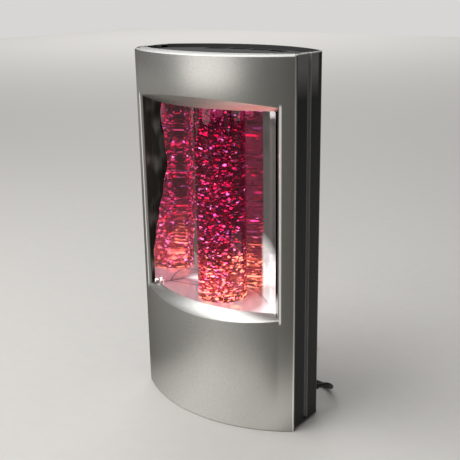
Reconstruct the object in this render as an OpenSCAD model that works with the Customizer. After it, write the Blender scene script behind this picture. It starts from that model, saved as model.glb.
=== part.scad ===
// Bow-fronted glitter lamp: a liquid-filled tube stands in a mirrored niche over a reflector bulb.
// Millimetres, +Z up, the front faces -Y, the floor is z = 0.

/* [Body] */
// Width across the flat sides
body_w = 200; // [185:1:220]
// Height of the rims above the floor
body_h = 380; // [375:1:420]
// Depth of the flat sides, from the front chord to the rear chord
side_d = 45; // [42:1:56]
// Bulge of the front face
front_bow = 33; // [28:1:38]
// Bulge of the back
rear_bow = 37; // [32:1:42]
// Wall of the moulded shells
wall = 2.5; // [2:0.1:3]
// Height of the rubber feet, which is the gap under the black casing
foot_h = 3; // [2:0.5:6]
// Gap under the silver front
front_gap = 0.5; // [0.5:0.5:2]
// Radius of the rear vertical edges
rear_round = 7; // [6:0.5:9]
// Width of the groove between the front and rear halves
groove_w = 6; // [4:0.5:8]
// Visible silver edge on the sides
lip_w = 2.6; // [2:0.1:4]

/* [Rims and window] */
// Depth of the sloped rim and of the window's reveals
reveal_d = 10; // [8:0.5:12]
// Drop of the top rim towards the front
rim_drop = 3.5; // [2:0.5:5]
// Width of the window at the outer face
win_w = 176; // [160:1:182]
// Lowest point of the window at the outer face
win_z0 = 116; // [112:1:118]
// Height of the silver band above the window, at its middle
head_h = 40.5; // [38:0.5:46]
// Rise of the arched upper and lower edges
win_arch = 7; // [5:0.5:9]
// Taper of each side of the window over the reveal
jamb_taper = 6; // [4:0.5:8]
// Depth of the jambs
jamb_d = 5; // [4:0.5:6]

/* [Chamber] */
// Drop from the sill to the mirrored floor
floor_drop = 2; // [1:0.5:4]
// Rise from the soffit to the chamber's ceiling
ceiling_rise = 6; // [5:0.5:8]
// Thickness of the chamber plates, the base and the top plate
plate_t = 2.5; // [2:0.1:3]
// Distance of the front reveal to the chamber plates
plate_gap = 0.5; // [0.3:0.1:1]
// Half width of the mirror sheet on the right
mirror_half = 81; // [78:0.5:82]
// Half width of the mirror sheet on the left, where it stands steeper
mirror_left = 79; // [76:0.5:81]
// Depth of the mirror sheet's curve
mirror_deep = 51; // [46:1:54]
// Thickness of the mirror sheet
mirror_t = 0.8; // [0.6:0.1:1.2]
// Front edge of the mirror sheet, from the front chord
mirror_front = -7; // [-9:0.5:-5]

/* [Tube and bulb] */
// Outer diameter of the glitter tube
tube_d = 52; // [46:1:56]
// Wall of the glitter tube
tube_wall = 2.5; // [2:0.1:3]
// Tube axis behind the front chord
tube_back = 13.5; // [12:0.5:15]
// Depth of the tube's foot below the chamber floor
tube_sunk = 13; // [10:0.5:14]
// Height of the tube above the chamber ceiling
tube_over = 10; // [9:0.5:12]
// Radial gap round the tube where it is held
tube_fit = 0.3; // [0.2:0.05:0.5]
// Number of glitter flakes
flake_count = 72; // [48:4:96]
// Length of a flake
flake_l = 3.6; // [3:0.1:3.8]
// Width of a flake
flake_w = 2.2; // [1.8:0.1:2.6]
// Thickness of a flake
flake_t = 0.4; // [0.3:0.05:0.5]
// Diameter of the reflector bulb
bulb_d = 39; // [36:1:42]
// Length of the bulb's glass
bulb_l = 45; // [42:1:48]
// Outer diameter of the lampholder
holder_d = 27; // [25:1:29]
// Height of the lampholder
holder_h = 38; // [36:1:40]
// Diameter of the bulb's screw cap
cap_d = 14; // [13:0.5:15]

/* [Fasteners] */
// Diameter of the casing screws
screw_d = 3; // [2.5:0.1:3.5]
// Diameter of the casing screws' heads
screw_head = 6; // [5:0.5:7]
// Clearance round screws and between nested shells
fit = 0.2; // [0.15:0.05:0.3]

/* [Cord switch] */
// Length of the switch housing
sw_l = 62; // [58:1:66]
// Width of the switch housing
sw_w = 26; // [24:1:30]
// Height of the switch housing
sw_h = 16; // [15:0.5:18]
// Wall of the switch housing
sw_wall = 1.8; // [1.5:0.1:2.2]
// Length of the rocker
rocker_l = 16; // [14:0.5:18]
// Width of the rocker
rocker_w = 10; // [9:0.5:11]
// Tilt of the rocker on each side of level
rocker_tilt = 8; // [6:1:10]
// Diameter of the rocker's pivot pins
pivot_d = 2.4; // [2:0.1:3]
// Radial running clearance of the pivot pins
pivot_fit = 0.05; // [0.03:0.01:0.08]

/* [Cord] */
// Diameter of the mains cord
cord_d = 5; // [4.8:0.1:5.2]

/* [Hidden] */
$fn = 96;
eps = 0.01;

// The plan: the front chord, the rear chord and the two bows' axes
body_d = front_bow + side_d + rear_bow;
front_y = front_bow - body_d / 2;
rear_y = front_y + side_d;
mid_y = (front_y + rear_y) / 2;
half_w = body_w / 2;
front_r = bow_radius(body_w, front_bow);
rear_r = bow_radius(body_w, rear_bow);
front_c = front_y - front_bow + front_r;
rear_c = rear_y + rear_bow - rear_r;
groove_y0 = mid_y - groove_w / 2;
groove_y1 = mid_y + groove_w / 2;
frame_y0 = front_y + lip_w;
tongue_in = 5;
tongue_half = half_w - wall - fit;

// Heights
base_top = foot_h + plate_t;
win_z1 = body_h - head_h;
soffit_dip = 4.5;
sill_rise = 4;
soffit_z = win_z1 - win_arch - soffit_dip;
sill_z = win_z0 + win_arch + sill_rise;
floor_z = sill_z - floor_drop;
ceiling_z = soffit_z + ceiling_rise;
top_drop = 3.5;
top_z = body_h - top_drop - plate_t;
ledge_t = 2.5;
ledge_w = 10;
ledge_y1 = groove_y0 - tongue_in - fit;

// The window's reveals
reveal_steps = 24;
reveal_r = front_r - reveal_d;
plate_r = reveal_r - plate_gap;
plate_half = tongue_half - wall - fit;
plate_rear = front_y + mirror_front + mirror_deep + mirror_t + 2;

// The tube and the bulb
tube_y = front_y + tube_back;
tube_z0 = floor_z - tube_sunk;
tube_z1 = ceiling_z + plate_t + tube_over;
tube_r = tube_d / 2;
tube_bore = tube_r - tube_wall;
seat_wall = 4.5;
seat_shelf = 4;
seat_bottom = tube_z0 - seat_shelf;
tube_foot = 3;
cap_plug = 10;
cap_top = 4;
fill_r = tube_bore - fit;
fill_z0 = tube_z0 + tube_foot;
fill_h = tube_z1 - cap_plug - 0.5 - fill_z0;
flake_sink = 0.1;
bracket_t = 1.5;
bracket_h = 8.5;
bracket_w = 16;
holder_z0 = base_top + bracket_h;
cap_l = 22;
holder_floor = 14;
cap_z0 = holder_z0 + holder_floor;
bulb_z0 = cap_z0 + cap_l;

// The cord's exit at the back
exit_point = [87, 42, 20];
exit_angle = 58;
gland_l = 20;
gland_d = 10;
gland_flange = 15;
gland_neck = 8;
gland_ribs = 4;
pocket_r = 9;

// The clamp and the terminal block on the base, in line with the exit
lead_l = 24;
gland_in = gland_l + wall + 2;
clamp_at = 12;
clamp_len = 8;
clamp_wide = 26;
clamp_screw_y = 8;
clamp_top = exit_point[2] + cord_d / 2 + 3;
terminal_size = [18, 14, 20];
wire_d = 2;

// The cord's routes: from the gland to the switch, and from the coil to the plug
run_points = [
  [87, 42, 20], [89.5, 46, 20], [91.8, 51.4, 19], [92.5, 56.6, 16.4], [91.8, 61.8, 12.8],
  [89.8, 66.6, 9.2], [86.6, 70.7, 6.2], [82.5, 73.9, 4.1], [77.7, 75.9, 2.9], [72.5, 76.6, 2.6],
  [60, 77.2, 2.6], [48, 77.6, 2.6], [40, 77.9, 2.7], [33, 78, 3.3], [26, 78, 4.3], [20, 78, 5],
  [14, 78, 5]
];
tail_points = [
  [-84, 145, 20.7], [-79, 145, 20.6], [-74, 145, 19.6], [-69, 145, 17.7], [-64, 145, 15.1],
  [-59, 145, 12.3], [-54, 145, 9.8], [-49, 145, 7.9], [-44, 145, 6.9], [-39, 145, 6.8]
];
cord_sides = 8;

// The switch lies on the floor behind the lamp, in line with the cord
sw_collar = 5;
sw_x = run_points[len(run_points) - 1][0] - sw_collar - sw_l / 2;
sw_y = 78;
sw_cord_z = 5;
sw_split = sw_h / 2;
sw_round = 8;
sw_deck = 3;
rocker_slack = 1.2;
rocker_top = 4.5;
rocker_low = 3.5;
rocker_dip = 1.5;
pivot_z = sw_h - 3.5;
cheek_w = 3;
sw_screw_x = sw_l / 2 - 9;
sw_screw_d = 2.4;
sw_screw_head = 5.4;
sw_boss = 6.4;
sw_sink = 3;
deck_l = 40;
deck_w = 20;

// The screws that hold the rear cover run into posts on the front frame
post_r = 4;
post_in = 14;
post_x = half_w - post_in;
post_z = [base_top + 34.5, top_z - 22];
post_y1 = rear_y - 2.5;
well_r = screw_head / 2 + 1;
screw_l = 16;
bracket_screw_x = holder_d / 2 + 13;

// The coil: one tube that spirals in and out in four layers
tie_t = 1.2;
tie_w = 9;
tie_slack = 0.3;
coil_pitch = 5.6;
coil_turns = 8.5;
coil_layers = 4;
coil_r = 33.5;
coil_x = -90;
coil_y = sw_y + coil_r;
coil_z = cord_d / 2 + tie_t + fit;
coil_rings = 24;
coil_sides = 6;
coil_stub = 6;
coil_entry = [[-58, 78, 5], [-64, 78, 5], [-71, 78, 4.8], [-78, 78, 4.4], [-84, 78, 4]];

// The plug
plug_l = 36;
plug_w = 35.3;
plug_h = 13.6;
plug_neck = 12;
pin_d = 4;
pin_l = 19;
pin_gap = 18.6;

function bow_radius(w, s) = (w * w / 4 + s * s) / (2 * s);
function front_face_y(x, r) = front_c - sqrt(r * r - x * x);

// A sector of a profile of (radius, height) points, swept round the front bow's axis
module bow_sweep(half_angle) {
  translate([0, front_c, 0])
    rotate([0, 0, -90 - half_angle])
      rotate_extrude(angle = 2 * half_angle, $fn = 180) children();
}

// The rear half's plan: flat sides, rounded rear edges and the bowed back, drawn in by inset
module rear_plan(inset, y0) {
  w = half_w - inset;
  r = rear_r - inset;
  round_r = rear_round - inset;
  cx = half_w - rear_round;
  cy = rear_c + sqrt(pow(rear_r - rear_round, 2) - cx * cx);
  translate([-w, y0]) square([2 * w, cy - y0]);
  for (s = [-1, 1]) translate([s * cx, cy]) circle(r = round_r);
  intersection() {
    translate([0, rear_c]) circle(r = r, $fn = 240);
    polygon([[-cx, cy], [cx, cy], [2 * cx, 2 * cy - rear_c], [-2 * cx, 2 * cy - rear_c]]);
  }
}

// The plan in front of the line y1, inside the front bow of radius r, w wide each side
module front_plan(r, w, y1) {
  intersection() {
    translate([0, front_c]) circle(r = r, $fn = 240);
    translate([-w, y1 - body_d]) square([2 * w, body_d]);
  }
}

// A cutter for the window: ruled from the arched outer edges to the straight inner ones
module window_cutter() {
  over = 0.6;
  under = -0.3;
  outer_half = win_w / 2;
  inner_half = outer_half - jamb_taper;
  rows = [for (i = [0:reveal_steps]) let (
    u = 2 * i / reveal_steps - 1,
    xo = u * outer_half,
    xi = u * inner_half,
    yo = front_face_y(xo, front_r),
    yi = front_face_y(xi, reveal_r),
    top_o = [xo, yo, win_z1 - win_arch * u * u],
    top_i = [xi, yi, soffit_z],
    low_o = [xo, yo, win_z0 + win_arch * u * u],
    low_i = [xi, yi, sill_z]
  ) [
    top_o + over * (top_o - top_i), top_i + under * (top_o - top_i),
    low_i + under * (low_o - low_i), low_o + over * (low_o - low_i)
  ]];
  sweep_rows(rows);
}

// A closed solid through rows of points, each row one ring of the skin
module sweep_rows(rows) {
  n = len(rows[0]);
  last = len(rows) - 1;
  sides = [for (i = [0:last - 1], j = [0:n - 1]) each [
    [i * n + j, i * n + (j + 1) % n, (i + 1) * n + j],
    [(i + 1) * n + j, i * n + (j + 1) % n, (i + 1) * n + (j + 1) % n]
  ]];
  ends = [for (j = [1:n - 2]) each [
    [0, j + 1, j],
    [last * n, last * n + j, last * n + j + 1]
  ]];
  polyhedron(points = [for (r = rows) each r], faces = concat(sides, ends));
}

// Rings of a round tube along points, square to the path at its ends
function unit(v) = v / norm(v);
function path_dir(p, i) = unit(p[min(i + 1, len(p) - 1)] - p[max(i - 1, 0)]);
function ring(c, d, r, sides) = let (
  a = unit(cross(d, [0, 0, 1])),
  b = cross(a, d)
) [for (k = [0:sides - 1]) c + r * (a * cos(360 * k / sides) + b * sin(360 * k / sides))];
module tube_along(points, d, sides) {
  sweep_rows([for (i = [0:len(points) - 1]) ring(points[i], path_dir(points, i), d / 2, sides)]);
}

// Everything on the line of the cord's exit is drawn along +X from the gland's tip
module at_exit() {
  translate(exit_point) rotate([0, 0, exit_angle]) children();
}
module exit_rod(x, r, l) {
  translate([x, 0, 0]) rotate([0, 90, 0]) cylinder(r = r, h = l);
}

// Silver front: a bowed skin with lips at its sides, a sloped top rim and a reveal round the window
module front_shell() {
  rim_z = body_h - rim_drop;
  rim_land = 0.6;
  rim_inset = 0.5;
  shell_angle = asin(half_w / front_r) + 2;
  jamb_angle = asin((win_w / 2 + 4) / front_r);
  reveal_angle = jamb_angle - 1;
  skin = front_r - wall / 2;
  color("silver") difference() {
    union() {
      translate([0, 0, front_gap]) linear_extrude(rim_z - front_gap) difference() {
        front_plan(front_r, half_w, frame_y0);
        front_plan(front_r - wall, half_w - wall, frame_y0 + 1);
      }
      intersection() {
        union() {
          bow_sweep(shell_angle) polygon([
            [skin, rim_z - wall], [front_r - rim_land, rim_z], [reveal_r, body_h], [reveal_r, body_h - wall]
          ]);
          bow_sweep(reveal_angle) polygon([
            [skin, win_z1 + 3], [reveal_r, soffit_z + wall], [reveal_r, soffit_z - 2], [skin, soffit_z - 2]
          ]);
          bow_sweep(reveal_angle) polygon([
            [skin, win_z0 - 3], [skin, sill_z + 2], [reveal_r, sill_z + 2], [reveal_r, sill_z - wall]
          ]);
          bow_sweep(jamb_angle) polygon([
            [skin, sill_z - 4], [skin, soffit_z + 4], [front_r - jamb_d, soffit_z], [front_r - jamb_d, sill_z]
          ]);
        }
        translate([-half_w + wall / 2, frame_y0 - rim_inset - body_d, 0])
          cube([body_w - wall, body_d, body_h + 1]);
      }
    }
    window_cutter();
  }
}

// Black front half: two sides tied by bars, with ledges for the plates and posts for the cover's screws
module front_frame() {
  deep = groove_y0 - frame_y0;
  ledge_d = ledge_y1 - frame_y0;
  rungs = [base_top, floor_z - plate_t - ledge_t, ceiling_z - ledge_t, top_z - ledge_t];
  bar_t = 2.4;
  bar_h = 6;
  inner = half_w - wall;
  color([0.09, 0.09, 0.1]) difference() {
    union() {
      for (s = [-1, 1]) {
        translate([s * (half_w - wall / 2) - wall / 2, frame_y0, base_top])
          cube([wall, deep, body_h - base_top]);
        for (z = rungs)
          translate([s * (inner - ledge_w / 2 + eps) - ledge_w / 2, frame_y0, z])
            cube([ledge_w, ledge_d, ledge_t]);
        for (z = post_z) {
          translate([s > 0 ? post_x - post_r : -inner - eps, frame_y0, z - post_r])
            cube([inner - post_x + post_r + eps, ledge_d, 2 * post_r]);
          translate([s * post_x, ledge_y1 - 1, z]) rotate([-90, 0, 0])
            cylinder(r = post_r, h = post_y1 - ledge_y1 + 1);
        }
      }
      for (z = [base_top, tube_z1 + cap_top + 4])
        translate([-half_w + eps, frame_y0, z]) cube([body_w - 2 * eps, bar_t, bar_h]);
    }
    for (s = [-1, 1], z = post_z)
      translate([s * post_x, post_y1 + 1, z]) rotate([90, 0, 0]) cylinder(d = screw_d + 2 * fit, h = screw_l + 1);
  }
}

// Black rear half with its tongue, the vents, the screw wells and the pocket for the cord
module rear_cover() {
  vent_z = base_top + 34;
  vent_pitch = 9;
  vents = 7;
  vent_w = 80;
  vent_h = 3.5;
  root = 3;
  ledge_in = 2;
  color([0.07, 0.07, 0.08]) difference() {
    union() {
      translate([0, 0, base_top]) linear_extrude(body_h - base_top) difference() {
        rear_plan(0, groove_y1);
        rear_plan(wall, groove_y1 - 1);
      }
      for (s = [-1, 1]) {
        translate([s * (tongue_half - wall / 2) - wall / 2, groove_y0 - tongue_in, base_top])
          cube([wall, groove_w + tongue_in + root, body_h - base_top]);
        translate([s > 0 ? tongue_half - wall : -half_w + eps, groove_y1, base_top])
          cube([half_w - tongue_half + wall - eps, root, body_h - base_top]);
      }
      for (z = [base_top, top_z - ledge_t])
        translate([0, 0, z]) linear_extrude(ledge_t) difference() {
          rear_plan(wall / 2, groove_y1 + root);
          rear_plan(wall + ledge_in, groove_y1 - 1);
        }
      intersection() {
        union() {
          at_exit() exit_rod(-gland_l - wall, pocket_r + wall, gland_l);
          for (s = [-1, 1], z = post_z)
            translate([s * post_x, post_y1, z]) rotate([-90, 0, 0]) cylinder(r = well_r + wall, h = body_d);
        }
        linear_extrude(body_h) rear_plan(eps, groove_y1 + root);
      }
    }
    at_exit() {
      exit_rod(-gland_l, pocket_r, 2 * gland_l);
      exit_rod(-gland_l - 2 * wall, gland_neck / 2 + fit, gland_l);
    }
    for (s = [-1, 1], z = post_z)
      translate([s * post_x, post_y1, z]) rotate([-90, 0, 0]) {
        translate([0, 0, wall]) cylinder(r = well_r, h = body_d);
        translate([0, 0, -1]) cylinder(d = screw_d + 2 * fit, h = wall + 2);
      }
    for (i = [0:vents - 1])
      translate([-vent_w / 2, rear_y, vent_z + i * vent_pitch]) cube([vent_w, body_d, vent_h]);
  }
}
module cover_screws() {
  head_h = 2.2;
  color([0.6, 0.6, 0.62]) for (s = [-1, 1], z = post_z)
    translate([s * post_x, post_y1 + wall, z]) rotate([-90, 0, 0]) {
      cylinder(d = screw_head, h = head_h);
      translate([0, 0, 1 - screw_l]) cylinder(d = screw_d, h = screw_l - 1);
    }
}

// Recessed top with curved vents behind and before the tube
module top_plate() {
  slot_edge = 7;
  rear_slot = 13;
  front_slot = 17;
  slot_half = 50;
  rib = 3;
  color([0.2, 0.2, 0.21]) translate([0, 0, top_z]) linear_extrude(plate_t) difference() {
    intersection() {
      translate([-plate_half, -body_d]) square([2 * plate_half, 2 * body_d]);
      union() {
        front_plan(plate_r, half_w, groove_y1 + 1);
        rear_plan(wall + fit, groove_y1);
      }
    }
    difference() {
      union() {
        intersection() {
          arc_band(rear_c, rear_r - wall - slot_edge - rear_slot, rear_slot);
          translate([-slot_half, groove_y1]) square([2 * slot_half, body_d]);
        }
        intersection() {
          arc_band(front_c, plate_r - slot_edge - front_slot, front_slot);
          translate([-slot_half, groove_y0 - body_d]) square([2 * slot_half, body_d]);
        }
      }
      for (x = [-slot_half / 2, 0, slot_half / 2])
        translate([x - rib / 2, -body_d]) square([rib, 2 * body_d]);
    }
  }
}
module arc_band(y, r, w) {
  translate([0, y]) difference() {
    circle(r = r + w, $fn = 240);
    circle(r = r, $fn = 240);
  }
}

// Base that the black halves stand on, with air slots behind and beside the bulb
module base_plate() {
  slot_w = 4;
  slot_pitch = 9;
  rear_slots = 4;
  side_slots = 4;
  slot_l = 56;
  side_l = 22;
  color([0.1, 0.1, 0.11]) translate([0, 0, foot_h]) difference() {
    linear_extrude(plate_t) {
      front_plan(front_r - wall - fit, half_w - wall - fit, frame_y0 + 1);
      translate([-half_w, frame_y0]) square([body_w, groove_y1 - frame_y0 + 1]);
      rear_plan(0, groove_y1);
    }
    for (i = [0:rear_slots - 1])
      translate([-slot_l / 2, tube_y + 22 + i * slot_pitch, -1]) cube([slot_l, slot_w, plate_t + 2]);
    for (i = [0:side_slots - 1])
      translate([-bracket_screw_x - 14 - side_l, tube_y - 16 + i * slot_pitch, -1])
        cube([side_l, slot_w, plate_t + 2]);
    for (s = [-1, 1])
      translate([s * bracket_screw_x, tube_y, -1]) cylinder(d = screw_d + 2 * fit, h = plate_t + 2);
  }
}

// Four rubber feet
module rubber_feet() {
  foot_d = 16;
  foot_x = half_w - 28;
  color([0.15, 0.15, 0.15]) for (x = [-foot_x, foot_x], y = [front_y + 2, rear_y])
    translate([x, y, 0]) {
      cylinder(d1 = foot_d - 2, d2 = foot_d, h = foot_h - 1);
      translate([0, 0, foot_h - 1]) cylinder(d = foot_d, h = 1);
    }
}

// Plan of the two chamber plates, which lie behind the window's reveals
module chamber_plan() {
  difference() {
    intersection() {
      translate([-plate_half, plate_rear - body_d]) square([2 * plate_half, body_d]);
      union() {
        front_plan(plate_r, half_w, groove_y1 + 1);
        rear_plan(wall + fit, groove_y1);
      }
    }
    translate([0, tube_y]) circle(r = tube_r + tube_fit);
  }
}
module chamber_floor() {
  color([0.75, 0.75, 0.78]) translate([0, 0, floor_z - plate_t]) linear_extrude(plate_t) chamber_plan();
}
module chamber_ceiling() {
  color([0.3, 0.3, 0.32]) translate([0, 0, ceiling_z]) linear_extrude(plate_t) chamber_plan();
}

// Mirror sheet: a strip bent behind the tube, steep on the left and open on the right,
// notched where it passes the sill and the soffit
mirror_y0 = front_y + mirror_front;
mirror_y1 = mirror_y0 + mirror_deep;
mirror_pull = [
  [-mirror_left, mirror_y0], [-mirror_left * 0.687, mirror_y0 + mirror_deep * 0.986],
  [-mirror_left * 0.78, mirror_y1], [0, mirror_y1]
];
function mirror_point(u) = u < 0
  ? bezier(mirror_pull, 1 + u)
  : [u * mirror_half, mirror_y1 - mirror_deep * u * u];
module mirror_sheet() {
  steps = 48;
  line = [for (i = [0:steps]) mirror_point(2 * i / steps - 1)];
  back = [for (i = [steps:-1:0]) let (
    d = unit(line[min(i + 1, steps)] - line[max(i - 1, 0)])
  ) line[i] + mirror_t * [-d[1], d[0]]];
  color([0.85, 0.85, 0.9]) difference() {
    translate([0, 0, floor_z]) linear_extrude(ceiling_z - floor_z - fit) polygon(concat(line, back));
    bow_sweep(45) polygon([
      [plate_r, floor_z - 1], [front_r, floor_z - 1], [front_r, sill_z + plate_gap], [plate_r, sill_z + plate_gap]
    ]);
    bow_sweep(45) polygon([
      [plate_r, ceiling_z], [plate_r, soffit_z - plate_gap], [front_r, soffit_z - plate_gap], [front_r, ceiling_z]
    ]);
  }
}

// The ring under the floor that carries the tube's foot, and the collar on the ceiling
module tube_seat() {
  color([0.12, 0.12, 0.12]) translate([0, tube_y, seat_bottom]) difference() {
    cylinder(r = tube_r + seat_wall, h = floor_z - plate_t - seat_bottom);
    translate([0, 0, seat_shelf]) cylinder(r = tube_r + tube_fit, h = tube_sunk + 1);
    translate([0, 0, -1]) cylinder(r = tube_bore - 1, h = seat_shelf + 2);
  }
}
module tube_collar() {
  collar_h = 6;
  color([0.12, 0.12, 0.12]) translate([0, tube_y, ceiling_z + plate_t]) difference() {
    cylinder(r = tube_r + seat_wall, h = collar_h);
    translate([0, 0, -1]) cylinder(r = tube_r + tube_fit, h = collar_h + 2);
  }
}

// The clear tube with its closed foot, its filling and its stopper
module glitter_tube() {
  color([0.9, 0.8, 0.85, 0.4]) translate([0, tube_y, tube_z0]) difference() {
    cylinder(r = tube_r, h = tube_z1 - tube_z0);
    translate([0, 0, tube_foot]) cylinder(r = tube_bore, h = tube_z1 - tube_z0);
  }
}
module glitter_liquid() {
  color([0.75, 0.05, 0.3, 0.6]) difference() {
    translate([0, tube_y, fill_z0]) cylinder(r = fill_r, h = fill_h);
    at_flakes() translate([0, 0, -fit / 2]) linear_extrude(flake_t + 2) flake_plan(fit / 2);
  }
}

// Glitter flakes: six-sided foil plates at the face of the filling, each in its own pocket
module flake_plan(grow) {
  offset(delta = grow) scale([flake_w / flake_l, 1]) circle(d = flake_l, $fn = 6);
}
module at_flakes() {
  rise = (fill_h - 2 * flake_l) / (flake_count - 1);
  for (i = [0:flake_count - 1])
    translate([0, tube_y, fill_z0 + flake_l + i * rise]) rotate([0, 0, i * 137.5])
      translate([fill_r - flake_sink - flake_t, 0, 0]) rotate([0, 90, 0]) rotate([0, 0, (i * 53) % 60 - 30]) children();
}
module glitter_flakes() {
  color([0.9, 0.2, 0.4]) at_flakes() linear_extrude(flake_t) flake_plan(0);
}
module tube_cap() {
  color([0.15, 0.15, 0.15]) translate([0, tube_y, tube_z1]) {
    cylinder(r = tube_r + 1.5, h = cap_top);
    translate([0, 0, -cap_plug]) cylinder(r = tube_bore - fit, h = cap_plug + 1);
  }
}

// Reflector bulb: a flared glass on a screw cap, in a flanged holder on a bracket
module bulb_glass() {
  r = bulb_d / 2;
  neck_r = cap_d / 2 + 2.5;
  dome = 6;
  shoulder = bulb_l - dome;
  dome_r = bow_radius(bulb_d, dome);
  color([0.95, 0.95, 0.9]) translate([0, tube_y, bulb_z0]) rotate_extrude() union() {
    polygon([
      [0, 0], [cap_d / 2, 0], [neck_r, 4], [neck_r, 10], [r, shoulder - 4], [r, shoulder], [0, shoulder]
    ]);
    intersection() {
      translate([0, bulb_l - dome_r]) circle(r = dome_r);
      translate([0, shoulder - 1]) square([r, dome + 2]);
    }
  }
}
module bulb_cap() {
  tip = 5;
  color([0.8, 0.65, 0.3]) translate([0, tube_y, cap_z0]) {
    cylinder(d1 = cap_d - 6, d2 = cap_d, h = tip);
    translate([0, 0, tip]) cylinder(d = cap_d, h = cap_l - tip);
  }
}
module lampholder() {
  flange_w = 4;
  flange_t = 3;
  flange_down = 9;
  color([0.92, 0.92, 0.9]) translate([0, tube_y, holder_z0]) difference() {
    union() {
      cylinder(d = holder_d, h = holder_h - 4);
      translate([0, 0, holder_h - flange_down]) cylinder(d = holder_d + 2 * flange_w, h = flange_t);
    }
    translate([0, 0, holder_floor]) cylinder(d = cap_d + 2 * tube_fit, h = holder_h);
  }
}
module holder_bracket() {
  arm = holder_d / 2 + 3;
  foot = 20;
  color([0.7, 0.7, 0.72]) translate([0, tube_y - bracket_w / 2, base_top]) difference() {
    union() {
      translate([-arm, 0, bracket_h - bracket_t]) cube([2 * arm, bracket_w, bracket_t]);
      for (s = [-1, 1]) {
        translate([s * (arm - bracket_t / 2) - bracket_t / 2, 0, 0]) cube([bracket_t, bracket_w, bracket_h]);
        translate([s * (arm + foot / 2 - bracket_t) - foot / 2, 0, 0]) cube([foot, bracket_w, bracket_t]);
      }
    }
    for (s = [-1, 1])
      translate([s * bracket_screw_x, bracket_w / 2, -1]) cylinder(d = screw_d + 2 * fit, h = bracket_t + 2);
  }
}
module plate_screws() {
  head_h = 2;
  color([0.6, 0.6, 0.62]) for (s = [-1, 1])
    translate([s * bracket_screw_x, tube_y, base_top + bracket_t]) {
      cylinder(d = screw_head, h = head_h);
      translate([0, 0, -bracket_t - plate_t]) cylinder(d = screw_d, h = bracket_t + plate_t + 1);
    }
}

// The cord's inner end: gland, clamp, terminal block and the two wires to the holder
module cord_gland() {
  tip_r = cord_d / 2 + 1;
  color([0.1, 0.1, 0.1]) at_exit() {
    translate([-gland_l, 0, 0]) rotate([0, 90, 0]) cylinder(d1 = gland_d, r2 = tip_r, h = gland_l);
    for (i = [1:gland_ribs]) let (t = i / (gland_ribs + 1))
      exit_rod(-gland_l * (1 - t) - 0.8, gland_d / 2 * (1 - t) + tip_r * t + 0.7, 1.6);
    exit_rod(-gland_l, gland_flange / 2, 2);
    exit_rod(-gland_l - wall - 1, gland_neck / 2, wall + 2);
    exit_rod(-gland_in, gland_neck / 2 + 2, 2);
  }
}
module inner_lead() {
  color([0.12, 0.12, 0.12]) at_exit() exit_rod(-gland_in - lead_l, cord_d / 2, lead_l);
}
module at_lead(x) {
  translate([exit_point[0], exit_point[1], 0]) rotate([0, 0, exit_angle]) translate([-gland_in - x, 0, 0]) children();
}
module cord_clamp() {
  color([0.85, 0.85, 0.82]) at_lead(clamp_at) difference() {
    translate([-clamp_len / 2, -clamp_wide / 2, base_top]) cube([clamp_len, clamp_wide, clamp_top - base_top]);
    translate([-clamp_len, 0, exit_point[2]]) rotate([0, 90, 0]) cylinder(d = cord_d + 2 * fit, h = 2 * clamp_len);
    for (s = [-1, 1])
      translate([0, s * clamp_screw_y, clamp_top - screw_l]) cylinder(d = screw_d + 2 * fit, h = screw_l + 1);
  }
}
module clamp_screws() {
  head_h = 2;
  color([0.6, 0.6, 0.62]) at_lead(clamp_at) for (s = [-1, 1])
    translate([0, s * clamp_screw_y, clamp_top]) {
      cylinder(d = screw_head, h = head_h);
      translate([0, 0, 1 - screw_l]) cylinder(d = screw_d, h = screw_l);
    }
}
module terminal_block() {
  hole_d = 4;
  color([0.93, 0.93, 0.9]) at_lead(lead_l + terminal_size[0]) translate([0, -terminal_size[1] / 2, base_top])
    difference() {
      cube(terminal_size);
      for (x = [0.28, 0.72], y = [0.28, 0.72])
        translate([terminal_size[0] * x, terminal_size[1] * y, terminal_size[2] - 4]) cylinder(d = hole_d, h = 5);
    }
}
function bezier(p, t) = pow(1 - t, 3) * p[0] + 3 * t * pow(1 - t, 2) * p[1] + 3 * t * t * (1 - t) * p[2] + pow(t, 3) * p[3];
module lamp_wires() {
  steps = 10;
  pull = 14;
  axis = [cos(exit_angle), sin(exit_angle), 0];
  side = [-axis[1], axis[0], 0];
  color([0.75, 0.2, 0.15]) for (s = [-1, 1]) {
    start = exit_point - (gland_in + lead_l + terminal_size[0] / 2) * axis + terminal_size[1] / 2 * side + [0, 0, 2 * s];
    out = [cos(20 * s + 20), sin(20 * s + 20), 0];
    end = [0, tube_y, start[2]] + (holder_d / 2 + fit) * out;
    route = [start, start + pull * side, end + pull * out, end];
    tube_along([for (i = [0:steps]) bezier(route, i / steps)], wire_d, cord_sides);
  }
}

// The mains cord from the gland to the switch and from the coil to the plug
module cord_run() {
  color([0.08, 0.08, 0.08]) tube_along(run_points, cord_d, cord_sides);
}
module cord_tail() {
  color([0.08, 0.08, 0.08]) tube_along(tail_points, cord_d, cord_sides);
}

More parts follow.
